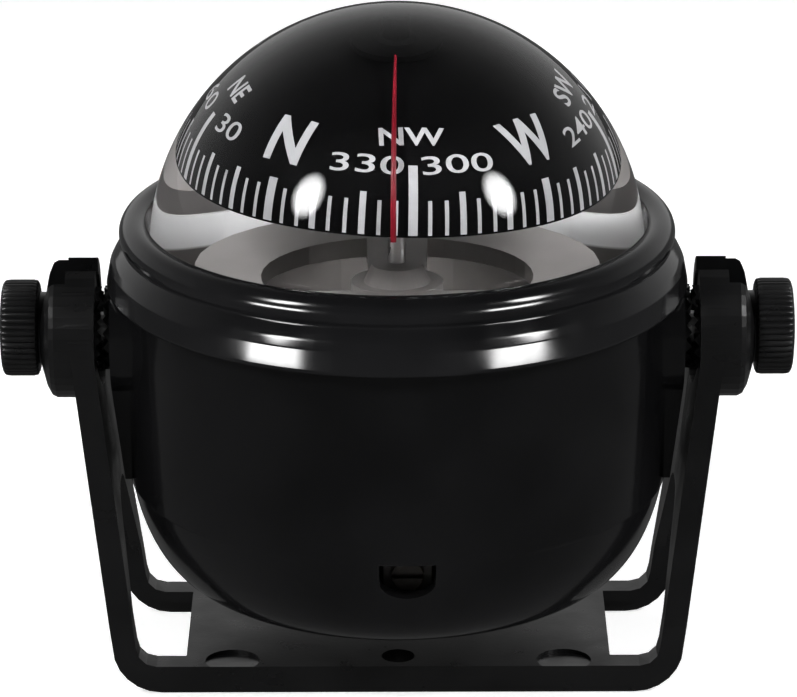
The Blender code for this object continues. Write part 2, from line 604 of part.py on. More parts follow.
def make_knob(side, word):
    """Stud, washer and hand knob of one clamp. All turn about the tilt axis."""
    axis = make_axis(f"clamp_axis_{word}", (0, 0, 0), TILT)
    hub_face = CHANNEL_FLOOR_X + 1.2 * MM
    dome = 0.5 * MM
    grip = [(0, KNOB_OUTER_X), (3.4 * MM, KNOB_OUTER_X - 0.12 * MM), (5.4 * MM, KNOB_OUTER_X - dome)]
    grip += [(KNOB_RADIUS, KNOB_OUTER_X - 1.3 * MM), (KNOB_RADIUS, KNOB_INNER_X), (HUB_RADIUS, KNOB_INNER_X)]
    grip += [(HUB_RADIUS, hub_face), (STUD_RADIUS + GAP, hub_face), (STUD_RADIUS + GAP, STUD_END_X + GAP)]
    grip += [(0, STUD_END_X + GAP)]
    along_x(turned(f"clamp_knob_{word}", grip, BLACK_SATIN, axis, 40), side)
    stud = [(0, STUD_END_X), (STUD_RADIUS, STUD_END_X), (STUD_RADIUS, 31.5 * MM), (0, 31.5 * MM)]
    along_x(turned(f"clamp_stud_{word}", stud, STEEL, axis, 20), side)
    ring = [(4.5, hub_face / MM - 0.3), (4.5, 42.6), (2.3, 42.6), (2.3, hub_face / MM - 0.3)]
    along_x(turned(f"clamp_washer_{word}", in_mm(ring), STEEL, axis, 24, ring=True), side)
    sleeve = [(2.8, 36.3), (2.8, 30.4), (2.3, 30.4), (2.3, 36.3)]
    insert = turned(f"threaded_insert_{word}", in_mm(sleeve), BRASS, TILT, 24, ring=True)
    along_x(insert, side)


def make_compensator(word, turn, side_shift):
    """A slotted screw that carries a magnet. Its head lies behind an access recess, along its own -Y."""
    axis = make_axis(f"compensator_axis_{word}", (0, 0, COMPENSATOR_HEIGHT), TILT)
    axis.rotation_euler.z = turn
    axis.location.x = side_shift * cos(turn)
    axis.location.y = side_shift * sin(turn)
    profile = [(0, 30.4), (1.95, 30.4), (2.05, 30.2), (2.05, 28.8), (1.4, 28.8), (1.4, 9.0), (0, 9.0)]
    screw = turned(f"compensator_screw_{word}", in_mm(profile), BROWN, axis, 24)
    screw.rotation_euler = (pi / 2, 0, 0)
    low, high = (-3 * MM, -0.35 * MM, 29.5 * MM), (3 * MM, 0.35 * MM, 31 * MM)
    slot = box(f"driver_slot_{word}", low, high, None, screw)
    combine(screw, "DIFFERENCE", slot)
    sleeve = [(2.9, 24.2), (2.9, 14.4), (1.7, 14.4), (1.7, 24.2)]
    magnet = turned(f"compensator_magnet_{word}", in_mm(sleeve), MAGNET, axis, 24, ring=True)
    magnet.rotation_euler = (pi / 2, 0, 0)


def make_carrier():
    """Plate in the bottom of the bowl, with two uprights for each compensator."""
    low, high = -30.9 * MM, -29.4 * MM
    plate_profile = [(0, high), (19 * MM, high), (19 * MM, low), (0, low)]
    carrier = turned("compensator_carrier", plate_profile, GREY_PLASTIC, TILT)
    for word, turn in (("front", 0.0), ("side", pi / 2)):
        for place, (near, far) in (("outer", (-27.0, -24.6)), ("inner", (-14.0, -11.0))):
            bottom = low + EPS if place == "inner" else -27.0 * MM
            foot = box(f"post_{word}_{place}", (-3 * MM, near * MM, bottom), (3 * MM, far * MM,
                                                                              POST_TOP), None,
                       TILT)
            foot.location.x = RECESS_CENTRE_X * cos(turn)
            foot.location.y = RECESS_CENTRE_X * sin(turn)
            foot.rotation_euler.z = turn
            combine(carrier, "UNION", foot)
        strut = box(f"strut_{word}", (-2.9 * MM, -25.2 * MM, -29.9 * MM), (2.9 * MM, -12 * MM,
                                                                           -26.5 * MM), None,
                    TILT)
        strut.location.x = RECESS_CENTRE_X * cos(turn)
        strut.location.y = RECESS_CENTRE_X * sin(turn)
        strut.rotation_euler.z = turn
        combine(carrier, "UNION", strut)
        bore = cylinder(f"rod_bore_{word}", ROD_RADIUS + GAP, (0, -32 * MM, 0), (0, -8 * MM, 0), None, TILT)
        bore.location = (RECESS_CENTRE_X * cos(turn), RECESS_CENTRE_X * sin(turn), COMPENSATOR_HEIGHT)
        bore.rotation_euler.z = turn
        combine(carrier, "DIFFERENCE", bore)
    for x, word in ((-CARRIER_SCREW_X, "left"), (CARRIER_SCREW_X, "right")):
        low, high = (x, CARRIER_SCREW_Y, -33 * MM), (x, CARRIER_SCREW_Y, -28 * MM)
        hole = cylinder(f"thread_{word}", 1.3 * MM, low, high, None, TILT)
        combine(carrier, "DIFFERENCE", hole)
        profile = [(0, -29.8), (1.0, -29.8), (1.0, -34.2), (2.2, -34.2), (2.2, -35.2), (0, -35.2)]
        screw = turned(f"carrier_screw_{word}", in_mm(profile), STEEL, TILT, 20)
        screw.location = (x, CARRIER_SCREW_Y, 0)


make_bracket()
make_housing_body()
make_top_cover()
make_dome()
make_capsule()
make_spider()
make_card()
make_lubber()
make_knob(-1, "left")
make_knob(1, "right")
make_compensator("front", 0.0, RECESS_CENTRE_X)
make_compensator("side", pi / 2, RECESS_CENTRE_X)
make_carrier()
bpy.context.view_layer.update()
for part in PARTS.objects:
    if part.type == "MESH":
        smooth(part.data)
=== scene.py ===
"""Looks of the bracket-mounted dome compass: fine surfaces, the printed card, the liquid-filled dome, and
a plain studio. Lengths are in metres, +Z is up and the front looks towards -Y, as in the frame."""

from math import atan2, cos, pi, radians, sin, sqrt  # noqa: E402

import bmesh  # noqa: E402
import bpy  # noqa: E402
from mathutils import Matrix, Vector  # noqa: E402


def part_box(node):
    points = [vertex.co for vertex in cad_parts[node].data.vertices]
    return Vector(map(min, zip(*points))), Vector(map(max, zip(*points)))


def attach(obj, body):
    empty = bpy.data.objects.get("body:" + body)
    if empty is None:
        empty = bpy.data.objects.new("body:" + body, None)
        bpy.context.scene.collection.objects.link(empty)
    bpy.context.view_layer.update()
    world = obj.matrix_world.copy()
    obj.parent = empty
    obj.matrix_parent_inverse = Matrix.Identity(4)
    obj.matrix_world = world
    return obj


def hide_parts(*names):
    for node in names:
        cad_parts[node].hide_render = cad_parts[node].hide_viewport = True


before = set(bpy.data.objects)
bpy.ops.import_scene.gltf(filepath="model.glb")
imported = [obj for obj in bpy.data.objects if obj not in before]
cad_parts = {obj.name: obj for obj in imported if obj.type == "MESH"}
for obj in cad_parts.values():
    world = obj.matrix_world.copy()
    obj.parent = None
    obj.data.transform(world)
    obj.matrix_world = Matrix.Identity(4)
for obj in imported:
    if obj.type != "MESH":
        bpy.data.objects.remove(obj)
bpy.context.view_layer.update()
MM = 0.001

# Heights below are above the tilt axis, which lies this far above the bracket's underside.
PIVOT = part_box("top_cover")[0].z - 6.2 * MM
ROUND = 256

DOME_CENTRE = 10.5 * MM
DOME_RADIUS = 31.7 * MM
LIQUID_INDEX = 1.33
WALL_RADIUS = 34.7 * MM
WALL_TOP = 5.9 * MM
WALL_BOTTOM = -19.1 * MM
WALL_THICKNESS = 2.2 * MM
LEDGE_RADIUS = 31.2 * MM
BOWL_DEPTH = 14.75 * MM
BOWL_FULLNESS = 0.24
BOWL_STEEPNESS = 1.6
BOWL_EDGE = 0.3 * MM
BOSS_RADIUS = 8.7 * MM
BOSS_FACE_X = 36.6 * MM
BOSS_BACK_X = 33.0 * MM
BOSS_SLEEVE_RADIUS = 4.1 * MM
BOSS_BORE_RADIUS = 3.1 * MM
LUG_HALF_WIDTH = 5.5 * MM
RECESS_CENTRE_X = 1.2 * MM
RECESS_HALF_WIDTH = 3.5 * MM
RECESS_BOTTOM = -24.1 * MM
RECESS_ROUNDING = 2.4 * MM
TOOTH_COUNT = 18
TOOTH_INNER = 3.2 * MM
TOOTH_OUTER = 5.4 * MM
TOOTH_HEIGHT = 0.7 * MM

CARD_RIM_RADIUS = 23.0 * MM
CARD_RIM = 18.15 * MM
CARD_CROWN = 33.6 * MM
CARD_SQUARENESS = 2.4
CARD_THICKNESS = 0.6 * MM
# Height above the tilt axis from which the capsule dish is painted white as painted light; below it the dish
# is painted dark grey as painted shade.
DISH_PAINTED_LIGHT_FROM = 3.0 * MM
CARD_TIP = (0.030, 0.057)        # fall of the resting card towards the right and towards the back, per length
LUBBER_STAND_OFF = 1.2 * MM
LUBBER_END = 19.2 * MM
LUBBER_CROWN_RISE = 0.5 * MM
LUBBER_START_REACH = 4.6 * MM
LUBBER_HALF_DEPTH = 0.20 * MM
LUBBER_HALF_WIDTH = (0.11 * MM, 0.22 * MM)     # at the crown, and what it gains by the card's rim
LUBBER_SHIFT = (-0.05 * MM, -0.35 * MM)        # sideways at the crown, and what it gains by the card's rim
NORTH_WEST_AT = 4.5              # degrees to the right of the front at which the north-west mark stands
PRINT_LIFT = 0.04 * MM

# Print on the card. Heights are above the card's rim, along its axis.
CARDINAL_TICK = (1.2 * MM, 5.3 * MM)           # width and top
HALF_CARDINAL_TICK = (1.1 * MM, 8.2 * MM)
MAJOR_TICK = (0.78 * MM, 5.25 * MM)
MINOR_TICK = (0.48 * MM, 4.35 * MM)
CARDINAL_SIZES = {
    "N": (5.2 * MM, 6.0 * MM),
    "E": (4.2 * MM, 6.0 * MM),
    "S": (4.6 * MM, 6.1 * MM),
    "W": (7.5 * MM, 6.0 * MM),
}
HALF_CARDINAL_WIDTHS = {"E": 5.0 * MM, "W": 7.8 * MM}          # by last letter
HALF_CARDINAL_HEIGHT = 2.6 * MM
NUMBER_WIDTHS = {2: 5.7 * MM, 3: 8.9 * MM}                     # by count of digits
NUMBER_HEIGHT = 2.35 * MM
CARDINAL_AT, HALF_CARDINAL_AT, NUMBER_AT = 9.4 * MM, 10.95 * MM, 8.25 * MM
CARDINAL_WEIGHT, HALF_CARDINAL_WEIGHT, NUMBER_WEIGHT = 0.03, 0.02, 0.006

KNOB_RADIUS = 6.2 * MM
KNOB_INNER_X = 46.0 * MM
KNOB_OUTER_X = 51.0 * MM
HUB_RADIUS = 4.6 * MM
KNURL_COUNT = 46
KNURL_DEPTH = 0.26 * MM

# Panels by name, each with its azimuth to the right of the front and its elevation, in degrees. A panel's
# shape is its distance, width and height, and its edge is the share of it over which its light fades out.
SOFTBOXES = {"glow_left": (-50, 35), "glow_right": (58, 33)}
SOFTBOX_SHAPE, SOFTBOX_STRENGTH, SOFTBOX_EDGE = (0.7, 0.20, 0.27), 50.0, 0.5
STRIPS = {"strip_left": (-47, 0), "strip_right": (46, 0)}
STRIP_SHAPE, STRIP_STRENGTH, STRIP_EDGE = (0.6, 0.26, 0.12), 50.0, 0.3
FILL_AZIMUTHS, FILL_ELEVATION = (-62, -25, 25, 62), 15
FILL_SHAPE, FILL_STRENGTH, FILL_EDGE = (1.2, 0.40, 0.14), 115.0, 0.3
WORLD_IN_FRONT, WORLD_BEHIND, WORLD_OVERHEAD = 0.05, 0.6, 0.15
FLOOR_HALF = 6.0
FLOOR_GLOW = 0.55
FLOOR_IN_REFLECTIONS = 0.10

CAMERA_LENS = 210.2              # millimetres, on a sensor 36 mm wide
CAMERA_PLACE = (0.15 * MM, -565.6 * MM, 197.3 * MM)
CAMERA_AIM = (0.15 * MM, 0.0, -3.0 * MM)
CAMERA_ROLL = -0.15              # degrees


# Materials -------------------------------------------------------------------------------------------------

def new_material(name):
    material = bpy.data.materials.new(name)
    material.use_nodes = True
    nodes = material.node_tree.nodes
    return material, nodes, material.node_tree.links, nodes["Principled BSDF"]


def noise(nodes, links, scale, detail=3.0, roughness=0.5, stretch=(1, 1, 1)):
    """A noise texture in the piece's own coordinates, with its scale in features per metre."""
    place = nodes.new("ShaderNodeTexCoord")
    mapping = nodes.new("ShaderNodeMapping")
    mapping.inputs["Scale"].default_value = stretch
    texture = nodes.new("ShaderNodeTexNoise")
    texture.inputs["Scale"].default_value = scale
    texture.inputs["Detail"].default_value = detail
    texture.inputs["Roughness"].default_value = roughness
    links.new(place.outputs["Object"], mapping.inputs["Vector"])
    links.new(mapping.outputs["Vector"], texture.inputs["Vector"])
    return texture


def ramp(nodes, links, source, low, high, start=0.35, end=0.65):
    """Maps a texture's value to colours or greys between low and high."""
    scale = nodes.new("ShaderNodeValToRGB")
    first, last = scale.color_ramp.elements
    first.position, last.position = start, end
    first.color = (*low, 1) if isinstance(low, tuple) else (low, low, low, 1)
    last.color = (*high, 1) if isinstance(high, tuple) else (high, high, high, 1)
    links.new(source, scale.inputs["Fac"])
    return scale.outputs["Color"]


def bump(nodes, links, source, shader, distance, strength=1.0):
    node = nodes.new("ShaderNodeBump")
    node.inputs["Distance"].default_value = distance
    node.inputs["Strength"].default_value = strength
    links.new(source, node.inputs["Height"])
    links.new(node.outputs["Normal"], shader.inputs["Normal"])
    return node


def plastic(name, dark, light, rough, specular=0.5, grain=900.0, depth=0.004 * MM, metallic=0.0):
    """Moulded plastic: a slightly uneven colour and gloss, and a faint grain."""
    material, nodes, links, shader = new_material(name)
    broad = noise(nodes, links, 60.0)
    links.new(ramp(nodes, links, broad.outputs["Fac"], dark, light), shader.inputs["Base Color"])
    patch = noise(nodes, links, 220.0, detail=5.0)
    links.new(ramp(nodes, links, patch.outputs["Fac"], *rough), shader.inputs["Roughness"])
    fine = noise(nodes, links, grain, detail=2.0)
    bump(nodes, links, fine.outputs["Fac"], shader, depth)
    shader.inputs["Specular IOR Level"].default_value = specular
    shader.inputs["Metallic"].default_value = metallic
    return material


BLACK_GLOSS = plastic(
    "gloss_black", (0.0022, 0.0022, 0.0024), (0.0040, 0.0040, 0.0043),
    (0.10, 0.17), 0.32, 700.0, 0.0012 * MM,
)
BLACK_SATIN = plastic(
    "satin_black", (0.0030, 0.0030, 0.0032), (0.0055, 0.0055, 0.0058),
    (0.27, 0.37), 0.38, 1800.0, 0.010 * MM,
)
BLACK_CARD = plastic(
    "card_black", (0.0006, 0.0006, 0.0007), (0.0012, 0.0012, 0.0014),
    (0.6, 0.7), 0.04, 1500.0, 0.0001 * MM,
)
PRINT = plastic(
    "card_print", (0.40, 0.40, 0.415), (0.48, 0.48, 0.495),
    (0.55, 0.65), 0.2, 2500.0, 0.004 * MM,
)
GREY = plastic(
    "grey_moulding", (0.36, 0.34, 0.33), (0.44, 0.42, 0.41),
    (0.4, 0.5), 0.4, 1200.0, 0.010 * MM,
)
WHITE = plastic(
    "white_moulding", (0.60, 0.60, 0.58), (0.70, 0.70, 0.68),
    (0.4, 0.5), 0.4, 1200.0, 0.010 * MM,
)
RED = plastic(
    "lubber_red", (0.05, 0.001, 0.003), (0.20, 0.004, 0.014),
    (0.3, 0.45), 0.3, 1600.0, 0.05 * MM,
)
RUBBER = plastic(
    "seal_rubber_looks", (0.010, 0.010, 0.010), (0.018, 0.018, 0.018),
    (0.6, 0.8), 0.3, 900.0, 0.020 * MM,
)
BROWN = plastic(
    "screw_brown", (0.012, 0.009, 0.007), (0.022, 0.016, 0.011),
    (0.35, 0.5), 0.4, 900.0, 0.015 * MM,
)
BRASS = plastic(
    "brass_looks", (0.42, 0.27, 0.09), (0.60, 0.42, 0.17),
    (0.22, 0.36), 0.5, 900.0, 0.004 * MM, 1.0,
)
STEEL = plastic(
    "steel_looks", (0.36, 0.36, 0.36), (0.52, 0.52, 0.52),
    (0.22, 0.38), 0.5, 900.0, 0.004 * MM, 1.0,
)
MAGNET = plastic(
    "magnet_looks", (0.10, 0.10, 0.105), (0.16, 0.16, 0.165),
    (0.4, 0.55), 0.5, 900.0, 0.015 * MM, 1.0,
)
JEWEL = plastic(
    "jewel_looks", (0.28, 0.01, 0.04), (0.45, 0.03, 0.08),
    (0.08, 0.15), 0.6, 600.0, 0.001 * MM,
)


def dome_glass():
    """Clear acrylic over a clear liquid, with the faintest waviness and smears."""
    material, nodes, links, shader = new_material("dome_clear")
    shader.inputs["Base Color"].default_value = (1.0, 1.0, 1.0, 1)
    shader.inputs["Transmission Weight"].default_value = 1.0
    shader.inputs["IOR"].default_value = LIQUID_INDEX
    smear = noise(nodes, links, 90.0, detail=6.0)
    links.new(ramp(nodes, links, smear.outputs["Fac"], 0.0, 0.012, 0.5, 0.8), shader.inputs["Roughness"])
    wave = noise(nodes, links, 25.0, detail=1.0)
    bump(nodes, links, wave.outputs["Fac"], shader, 0.004 * MM)
    return material


def dish_plastic():
    """Dark grey moulding with painted light and shade: its wall is painted white from DISH_PAINTED_LIGHT_FROM
    above the tilt axis upwards as painted light, and the dark grey below it is painted shade.
    """
    material, nodes, links, shader = new_material("capsule_dish_painted_light_and_shade")
    place = nodes.new("ShaderNodeTexCoord")
    split = nodes.new("ShaderNodeSeparateXYZ")
    links.new(place.outputs["Object"], split.inputs[0])
    # Mask: painted shade below the height, painted light above it.
    step = nodes.new("ShaderNodeMapRange")
    step.inputs["From Min"].default_value = PIVOT + DISH_PAINTED_LIGHT_FROM
    step.inputs["From Max"].default_value = PIVOT + DISH_PAINTED_LIGHT_FROM + 0.2 * MM
    links.new(split.outputs["Z"], step.inputs["Value"])
    patch = noise(nodes, links, 120.0, detail=5.0)
    # Dark grey as painted shade, near-white as painted light.
    grey = ramp(nodes, links, patch.outputs["Fac"], (0.085, 0.08, 0.077), (0.14, 0.13, 0.125))
    white = ramp(nodes, links, patch.outputs["Fac"], (0.84, 0.84, 0.85), (0.90, 0.90, 0.91))
    mix = nodes.new("ShaderNodeMix")
    mix.data_type = "RGBA"
    links.new(step.outputs["Result"], mix.inputs["Factor"])
    links.new(grey, mix.inputs["A"])
    links.new(white, mix.inputs["B"])
    links.new(mix.outputs["Result"], shader.inputs["Base Color"])
    shader.inputs["Roughness"].default_value = 0.5
    fine = noise(nodes, links, 900.0, detail=2.0)
    bump(nodes, links, fine.outputs["Fac"], shader, 0.01 * MM)
    return material


GLASS = dome_glass()
DISH = dish_plastic()


def dress(piece, material):
    piece.data.materials.clear()
    piece.data.materials.append(material)


# Building --------------------------------------------------------------------------------------------------

def add_piece(name, mesh, material, body, slot_name, *stands_for):
    piece = bpy.data.objects.new(name, mesh)
    bpy.context.scene.collection.objects.link(piece)
    dress(piece, material)
    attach(piece, body)
    if stands_for:
        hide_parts(*stands_for)
    return piece


def smooth(mesh, angle=32):
    mesh.shade_smooth()
    mesh.set_sharp_from_angle(angle=radians(angle))


def fillet(points, radius, count=4, closed=True):
    """Rounds each corner of an outline of (r, z, optional own radius) points."""
    rounded = []
    total = len(points)
    for i, point in enumerate(points):
        own = point[2] if len(point) > 2 else radius
        here = Vector(point[:2])
        if own <= 0 or (not closed and i in (0, total - 1)):
            rounded.append(tuple(here))
            continue
        before, after = Vector(points[i - 1][:2]), Vector(points[(i + 1) % total][:2])
        back, ahead = (before - here), (after - here)
        reach = min(own, 0.45 * back.length, 0.45 * ahead.length)
        start, end = here + back.normalized() * reach, here + ahead.normalized() * reach
        for k in range(count + 1):
            t = k / count
            rounded.append(tuple((1 - t) ** 2 * start + 2 * t * (1 - t) * here + t * t * end))
    return rounded


def turned(name, profile, steps=ROUND, ring=True):
    """A mesh turned about Z from (radius, height) points. A ring's profile is closed, and a solid's ends lie
    on the axis."""
    work = bmesh.new()
    loops = []
    for radius, height in profile:
        if radius < 1e-7:
            loops.append([work.verts.new((0, 0, height))])
            continue
        loops.append([
            work.verts.new((radius * cos(2 * pi * k / steps), radius * sin(2 * pi * k / steps), height))
            for k in range(steps)
        ])
    pairs = list(zip(loops, loops[1:])) + ([(loops[-1], loops[0])] if ring else [])
    for upper, lower in pairs:
        for k in range(steps):
            corners = [upper[k % len(upper)], upper[(k + 1) % len(upper)], lower[(k + 1) % len(lower)],
                       lower[k % len(lower)]]
            work.faces.new(list(dict.fromkeys(corners)))
    bmesh.ops.recalc_face_normals(work, faces=work.faces)
    mesh = bpy.data.meshes.new(name)
    work.to_mesh(mesh)
    work.free()
    smooth(mesh)
    return mesh


def raised(mesh, height=PIVOT):
    mesh.transform(Matrix.Translation((0, 0, height)))
    return mesh


def arc(centre_r, centre_z, radius, start, end, count):
    return [
        (centre_r + radius * cos(radians(start + (end - start) * i / count)),
         centre_z + radius * sin(radians(start + (end - start) * i / count)))
        for i in range(count + 1)
    ]


def outline_solid(name, outline, start, end, axis):
    """A flat outline given thickness along X, from (y, z) points, or along Y, from (x, z) points."""
    work = bmesh.new()
    rows = []
    for along in (start, end):
        if axis == "X":
            rows.append([work.verts.new((along, a, z)) for a, z in outline])
        else:
            rows.append([work.verts.new((a, along, z)) for a, z in outline])
    work.faces.new(rows[0])
    work.faces.new(rows[1])
    count = len(outline)
    for i in range(count):
        work.faces.new((rows[0][i], rows[0][(i + 1) % count], rows[1][(i + 1) % count], rows[1][i]))
    bmesh.ops.recalc_face_normals(work, faces=work.faces)
    mesh = bpy.data.meshes.new(name)
    work.to_mesh(mesh)
    work.free()
    return mesh


def with_cuts(mesh, joined, cut):
    """The mesh after Boolean unions and differences, as a new mesh."""
    base = bpy.data.objects.new("working", mesh)
    bpy.context.scene.collection.objects.link(base)
    helpers = [base]
    for operation, others in (("UNION", joined), ("DIFFERENCE", cut)):
        for other in others:
            helper = bpy.data.objects.new("helper", other)
            bpy.context.scene.collection.objects.link(helper)
            helpers.append(helper)
            step = base.modifiers.new("step", "BOOLEAN")
            step.operation = operation
            step.solver = "EXACT"
            step.object = helper
    bpy.context.view_layer.update()
    made = bpy.data.meshes.new_from_object(base.evaluated_get(bpy.context.evaluated_depsgraph_get()))
    for helper in helpers:
        bpy.data.objects.remove(helper)
    return made


def soften(piece, width, segments=2, angle=40):
    bevel = piece.modifiers.new("edges", "BEVEL")
    bevel.width = width
    bevel.segments = segments
    bevel.limit_method = "ANGLE"
    bevel.angle_limit = radians(angle)
    bevel.use_clamp_overlap = True
    bevel.harden_normals = True
    return piece


# Top cover and housing -------------------------------------------------------------------------------------

def make_top_cover():
    bore = 32.0
    points = [(bore, 14.7)]
    points += arc(33.4, 13.4, 2.1, 128, -38, 30)
    shoulder = [(35.05, 12.1, 0), (34.98, 11.8, 0.2), (35.5, 11.2, 0.3), (36.2, 10.35, 0.25)]
    band = [(36.72, 9.3, 0.15), (37.2, 6.7, 0.2), (36.9, 6.25, 0.2)]
    foot = [(33.3, 6.2, 0.1), (33.3, 8.9, 0), (bore, 8.9, 0)]
    points += fillet(shoulder + band + foot, 0.2, 5, closed=False)[1:]
    mesh = raised(turned("top_cover_surface", [(r * MM, z * MM) for r, z in points]))
    add_piece("top_cover_surface", mesh, BLACK_GLOSS, "housing", "black_gloss", "top_cover")


def boss_outline():
    start = atan2(WALL_TOP, sqrt(BOSS_RADIUS ** 2 - WALL_TOP ** 2))
    end = -atan2(sqrt(BOSS_RADIUS ** 2 - LUG_HALF_WIDTH ** 2), LUG_HALF_WIDTH)
    right = []
    for i in range(17):
        angle = start + (end - start) * i / 16
        right.append((BOSS_RADIUS * cos(angle), BOSS_RADIUS * sin(angle)))
    right.append((LUG_HALF_WIDTH, WALL_BOTTOM + 0.3 * MM))
    return right + [(-y, z) for y, z in reversed(right)]


def teeth_ring(side, face_x, tip_x):
    """A ring of radial locking teeth about X, which stands on face_x and whose ridges end at tip_x."""
    count = 2 * TOOTH_COUNT
    away = 1 if abs(tip_x) > abs(face_x) else -1
    valley_x = tip_x - side * away * TOOTH_HEIGHT
    work = bmesh.new()
    rings = []
    for radius, level in (
            (TOOTH_INNER, face_x), (TOOTH_OUTER, face_x), (TOOTH_OUTER, None), (TOOTH_INNER, None)):
        ring = []
        for k in range(count):
            turn = 2 * pi * k / count
            across = level if level is not None else (tip_x if k % 2 else valley_x)
            ring.append(work.verts.new((across, radius * cos(turn), radius * sin(turn))))
        rings.append(ring)
    for first, second in zip(rings, rings[1:] + rings[:1]):
        for k in range(count):
            work.faces.new((first[k], first[(k + 1) % count], second[(k + 1) % count], second[k]))
    bmesh.ops.recalc_face_normals(work, faces=work.faces)
    mesh = bpy.data.meshes.new("teeth")
    work.to_mesh(mesh)
    work.free()
    return mesh


def along_x(name, profile, steps=64):
    """A solid turned about X, from (radius, x) points."""
    mesh = turned(name, profile, steps, ring=False)
    mesh.transform(Matrix.Rotation(pi / 2, 4, "Y"))
    return mesh


def rod(radius, start, end):
    """Profile of a plain cylinder between two places along its axis."""
    return [(0.0, start), (radius, start), (radius, end), (0.0, end)]


def access_recess(axis, near, far):
    """Flat-topped hole under the wall's lower edge, through which a compensator is turned."""
    half = RECESS_HALF_WIDTH
    low = RECESS_BOTTOM + RECESS_ROUNDING
    top = WALL_BOTTOM - 0.1 * MM
    outline = [(RECESS_CENTRE_X - half, low), (RECESS_CENTRE_X - half, top), (RECESS_CENTRE_X + half, top)]
    outline += [(RECESS_CENTRE_X + half * cos(radians(a)), low + RECESS_ROUNDING * sin(radians(a)))
                for a in range(0, -180, -12)]
    return outline_solid("recess", outline, near, far, axis)


def make_housing():
    inside = WALL_RADIUS - WALL_THICKNESS
    wall = [(inside, WALL_TOP), (WALL_RADIUS, WALL_TOP, 0.3 * MM), (WALL_RADIUS, WALL_BOTTOM, 0.1 * MM)]
    wall.append((WALL_RADIUS - 0.25 * MM, WALL_BOTTOM - 0.25 * MM))
    outer = fillet(wall, 0, 3, closed=False)
    # The bowl's first steps would fold over the bevel at the foot of the wall, so they are left out.
    first, steps = 4, 48
    for i in range(first, steps + 1):
        angle = pi / 2 * i / steps
        across = (WALL_RADIUS - BOWL_EDGE) * max(cos(angle), 0.0) ** BOWL_FULLNESS if i < steps else 0.0
        drop = (BOWL_DEPTH - BOWL_EDGE) * sin(angle) ** BOWL_STEEPNESS
        outer.append((across, WALL_BOTTOM - BOWL_EDGE - drop))
    inner = [(0.0, WALL_BOTTOM - BOWL_DEPTH + WALL_THICKNESS)]
    for i in range(23, 0, -1):
        angle = pi / 2 * i / 24
        across = (inside - BOWL_EDGE) * cos(angle) ** BOWL_FULLNESS
        inner.append((across, WALL_BOTTOM - (BOWL_DEPTH - WALL_THICKNESS) * sin(angle) ** BOWL_STEEPNESS))
    inner += [(inside, WALL_BOTTOM), (inside, 1.6 * MM), (LEDGE_RADIUS, 2.8 * MM), (LEDGE_RADIUS, 4.2 * MM)]
    inner.append((inside, 4.2 * MM))
    body = turned("housing_surface", inner + outer, ring=False)
    joined, cut = [], []
    for side in (-1, 1):
        near, far = sorted((side * BOSS_BACK_X, side * BOSS_FACE_X))
        boss = outline_solid("boss", boss_outline(), near, far, "X")
        for vert in boss.vertices:
            if abs(vert.co.x) > 35 * MM and vert.co.z < -8 * MM:
                vert.co.x -= side * 1.5 * MM
        joined.append(boss)
        ends = (side * 29 * MM, side * 34 * MM)
        joined.append(along_x("sleeve", rod(BOSS_SLEEVE_RADIUS, *ends)))
        joined.append(teeth_ring(side, side * (BOSS_FACE_X - 0.02 * MM), side * (BOSS_FACE_X + MM)))
        cut.append(along_x("bore", rod(BOSS_BORE_RADIUS, side * 28 * MM, side * 38 * MM)))
    cut.append(access_recess("Y", -40 * MM, -26 * MM))
    cut.append(access_recess("X", 26 * MM, 40 * MM))
    mesh = with_cuts(body, joined, cut)
    smooth(mesh, 28)
    add_piece("housing_surface", raised(mesh), BLACK_GLOSS, "housing", "black_gloss", "housing_body")


# Dome and card ---------------------------------------------------------------------------------------------

def make_dome():
    """The dome and the liquid behind it, as one clear body that ends inside the capsule's opaque floor."""
    points = [(0.0, DOME_CENTRE + DOME_RADIUS)]
    points += arc(0, DOME_CENTRE, DOME_RADIUS, 90, 0, 96)[1:]
    points += [(DOME_RADIUS, 6.5 * MM), (27.9 * MM, 5.0 * MM), (25.8 * MM, -7.2 * MM), (0.0, -7.2 * MM)]
    mesh = raised(turned("dome_clear_body", points, ROUND, ring=False))
    piece = add_piece("dome_clear_body", mesh, GLASS, "housing", "clear_acrylic", "dome")
    piece.visible_shadow = False


def card_radius_at(height):
    """Radius of the card's surface at a height above its rim."""
    share = min(max(height / (CARD_CROWN - CARD_RIM), 0.0), 1.0)
    return CARD_RIM_RADIUS * (1 - share ** CARD_SQUARENESS) ** (1 / CARD_SQUARENESS)


def onto_card(point, lift=PRINT_LIFT):
    """Moves a point, measured from the centre of the card's rim, to the card's surface along its own ray."""
    across = sqrt(point.x ** 2 + point.y ** 2) / (CARD_RIM_RADIUS + lift)
    up = max(point.z, 0.0) / (CARD_CROWN - CARD_RIM + lift)
    return point / (across ** CARD_SQUARENESS + up ** CARD_SQUARENESS) ** (1 / CARD_SQUARENESS)


def tip_card(mesh):
    """Leans a mesh built about the centre of the card's rim as the resting card leans, and moves it there."""
    lean = Vector((0, 0, 1)).rotation_difference(Vector((*CARD_TIP, 1))).to_matrix().to_4x4()
    mesh.transform(Matrix.Translation((0, 0, PIVOT + CARD_RIM)) @ lean)


def make_card():
    outer, inner = [], []
    for i in range(49):
        angle = pi / 2 * (1 - i / 48)
        across = max(cos(angle), 0.0) ** (2 / CARD_SQUARENESS) if i else 0.0
        up = max(sin(angle), 0.0) ** (2 / CARD_SQUARENESS)
        outer.append((CARD_RIM_RADIUS * across, CARD_RIM + (CARD_CROWN - CARD_RIM) * up))
        inner_height = CARD_RIM + (CARD_CROWN - CARD_RIM - CARD_THICKNESS) * up
        inner.append(((CARD_RIM_RADIUS - CARD_THICKNESS) * across, inner_height))
    mesh = turned("card_surface", [(r, z - CARD_RIM) for r, z in outer + inner[::-1]], ROUND, ring=False)
    tip_card(mesh)
    add_piece("card_surface", mesh, BLACK_CARD, "card", "black_card", "card_dial")


